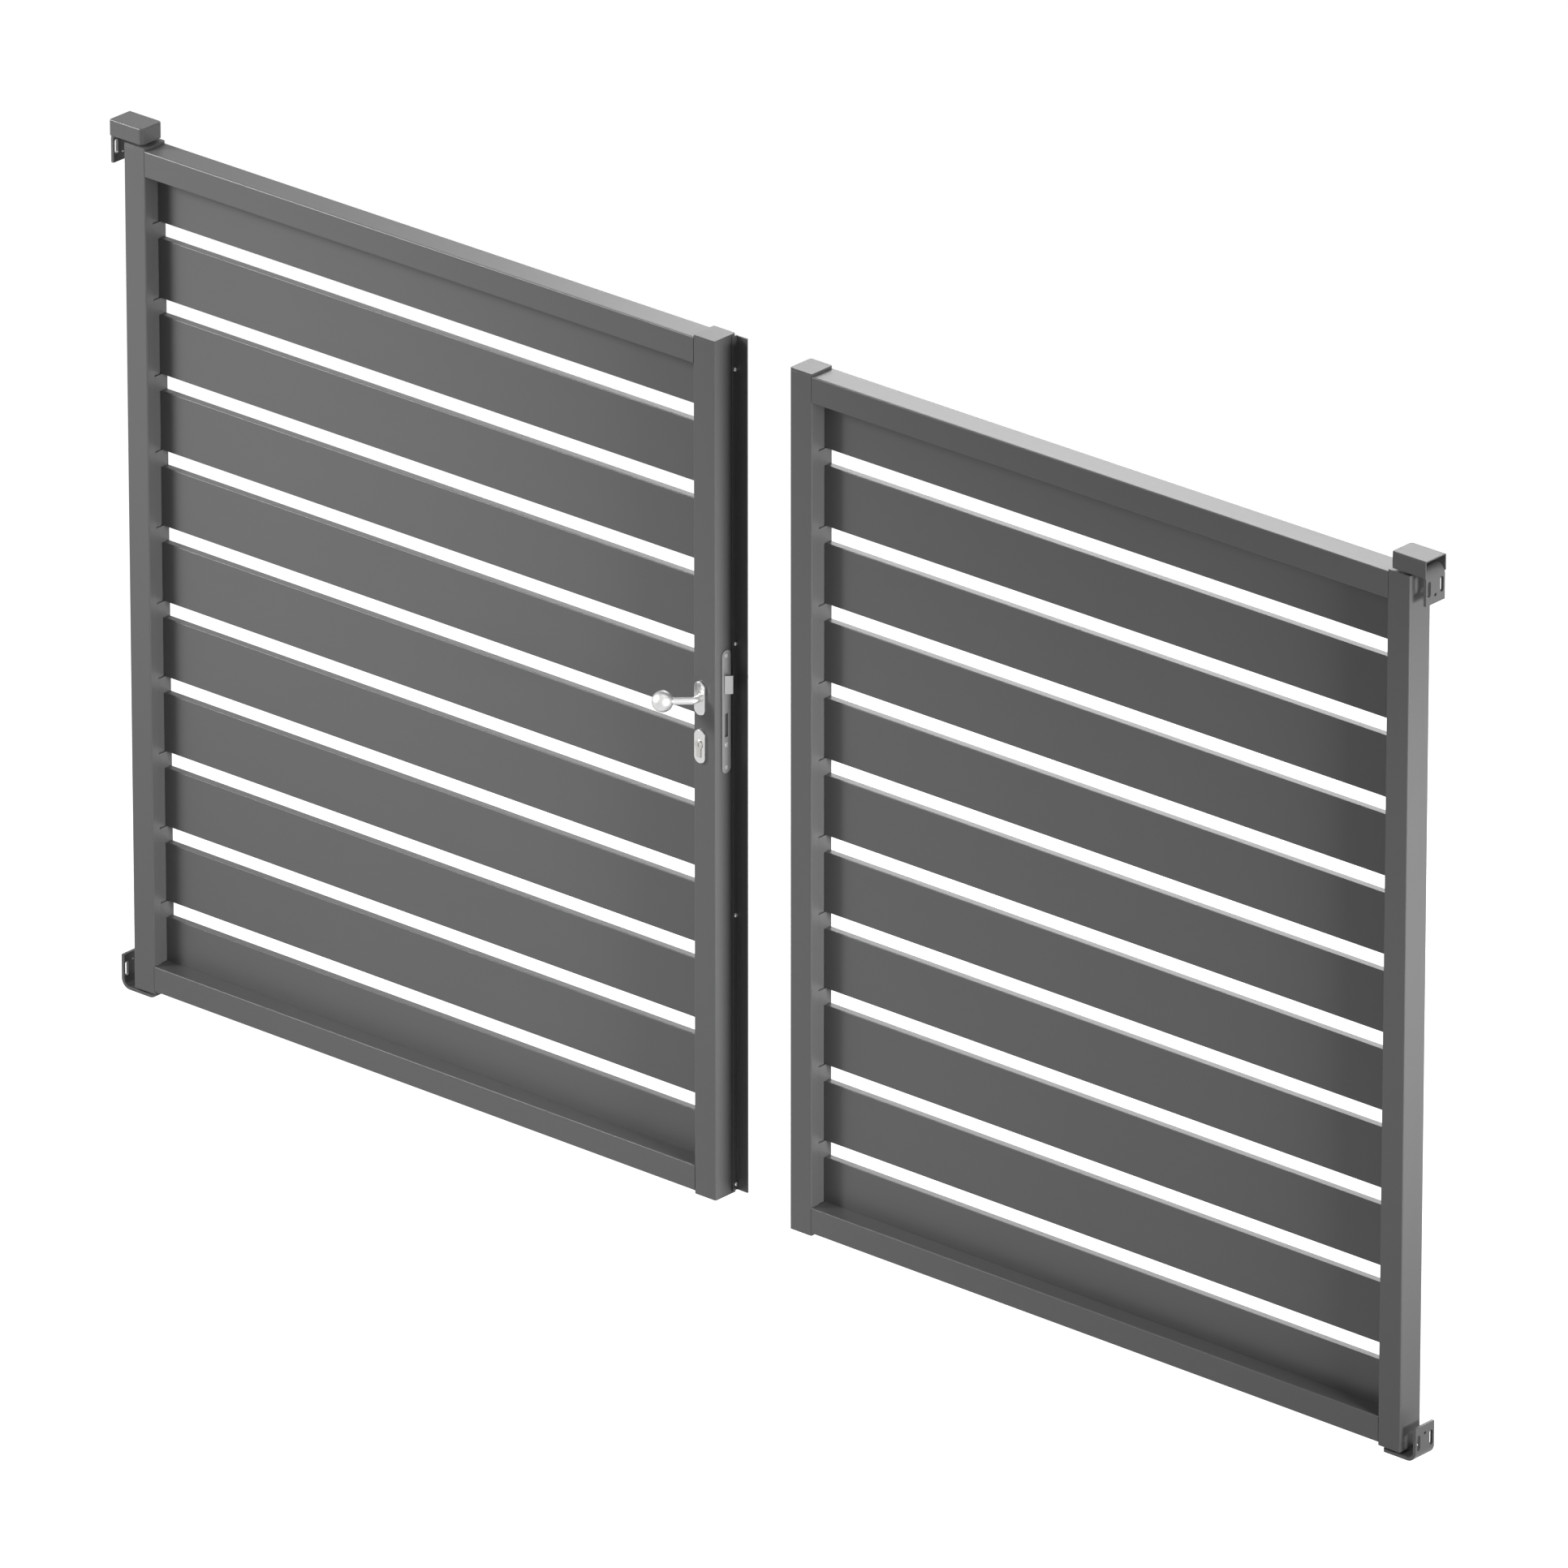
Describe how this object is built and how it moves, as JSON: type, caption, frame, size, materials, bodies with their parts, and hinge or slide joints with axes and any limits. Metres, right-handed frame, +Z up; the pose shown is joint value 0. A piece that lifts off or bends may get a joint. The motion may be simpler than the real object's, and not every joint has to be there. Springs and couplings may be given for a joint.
{
  "type": "double leaf slatted driveway gate",
  "caption": "Double leaf gate with horizontal slats in aluminium frames, hinge plates, a ball knob outside, a lever inside and a mortice lock.",
  "frame": {"origin": "middle of the flat face with which the left bottom hinge plate lies on its pier", "axes": "+X along the gate from the left pier to the right one, -Y towards the street where the ball knob is, +Z up"},
  "size_m": [3.183, 0.2165, 1.7681],
  "materials": {
    "frame_grey": "matt grey powder coat on aluminium",
    "slat_grey": "matt grey powder coat on aluminium",
    "cap_plastic": "dark grey moulded plastic",
    "hinge_steel": "grey powder coat on steel",
    "pin_steel": "bright zinc-plated steel",
    "satin_steel": "satin stainless steel",
    "lock_steel": "dull plated steel",
    "cylinder_nickel": "matt nickel-plated brass"
  },
  "bodies": {
    "left_leaf": {"left_hinge_stile": "frame_grey", "left_lock_stile": "frame_grey", "left_top_rail": "frame_grey", "left_bottom_rail": "frame_grey", "left_slats": "slat_grey", "left_slat_spacers": "cap_plastic", "left_pivot_bushes": "cap_plastic", "left_end_caps": "cap_plastic", "stop_profile": "frame_grey", "stop_profile_screws": "pin_steel", "lock_case": "lock_steel", "lock_faceplate": "satin_steel", "knob_rose": "satin_steel", "ball_knob": "satin_steel", "front_escutcheon": "satin_steel", "back_escutcheon": "satin_steel", "lever_rose": "satin_steel", "key_cylinder": "cylinder_nickel"},
    "right_leaf": {"right_hinge_stile": "frame_grey", "right_meeting_stile": "frame_grey", "right_top_rail": "frame_grey", "right_bottom_rail": "frame_grey", "right_slats": "slat_grey", "right_slat_spacers": "cap_plastic", "right_pivot_bushes": "cap_plastic", "right_end_caps": "cap_plastic", "strike_plate": "satin_steel"},
    "hinge_plates": {"left_bottom_hinge_plate": "hinge_steel", "left_top_hinge_plate": "hinge_steel", "left_bottom_pin": "pin_steel", "left_top_pin": "pin_steel", "left_hinge_hood": "cap_plastic", "right_bottom_hinge_plate": "hinge_steel", "right_top_hinge_plate": "hinge_steel", "right_bottom_pin": "pin_steel", "right_top_pin": "pin_steel", "right_hinge_hood": "cap_plastic"},
    "lever": {"inside_lever": "satin_steel"},
    "latch": {"latch_bolt": "lock_steel"},
    "dead_bolt": {"dead_bolt": "lock_steel"}
  },
  "joints": [
    {"name": "left_leaf_swing", "type": "hinge", "parent": "hinge_plates", "child": "left_leaf", "pos_m": [0.061, 0, -0.0229], "axis": [0, 0, 1], "range_deg": [0, 90]},
    {"name": "right_leaf_swing", "type": "hinge", "parent": "hinge_plates", "child": "right_leaf", "pos_m": [3.122, 0, -0.0229], "axis": [0, 0, -1], "range_deg": [0, 90]},
    {"name": "lever_turn", "type": "hinge", "parent": "left_leaf", "child": "lever", "pos_m": [1.465, 0.0285, 0.9811], "axis": [0, -1, 0], "range_deg": [0, 35], "stiffness_Nm_per_rad": 1.2, "springref_deg": -22.92},
    {"name": "latch_slide", "type": "slide", "parent": "left_leaf", "child": "latch", "axis": [-1, 0, 0], "range_m": [0, 0.01]},
    {"name": "dead_bolt_slide", "type": "slide", "parent": "left_leaf", "child": "dead_bolt", "axis": [1, 0, 0], "range_m": [0, 0.018]}
  ],
  "couplings": [
    {"joint": "latch_slide", "follows": "lever_turn", "m_per_rad": 0.0163}
  ]
}
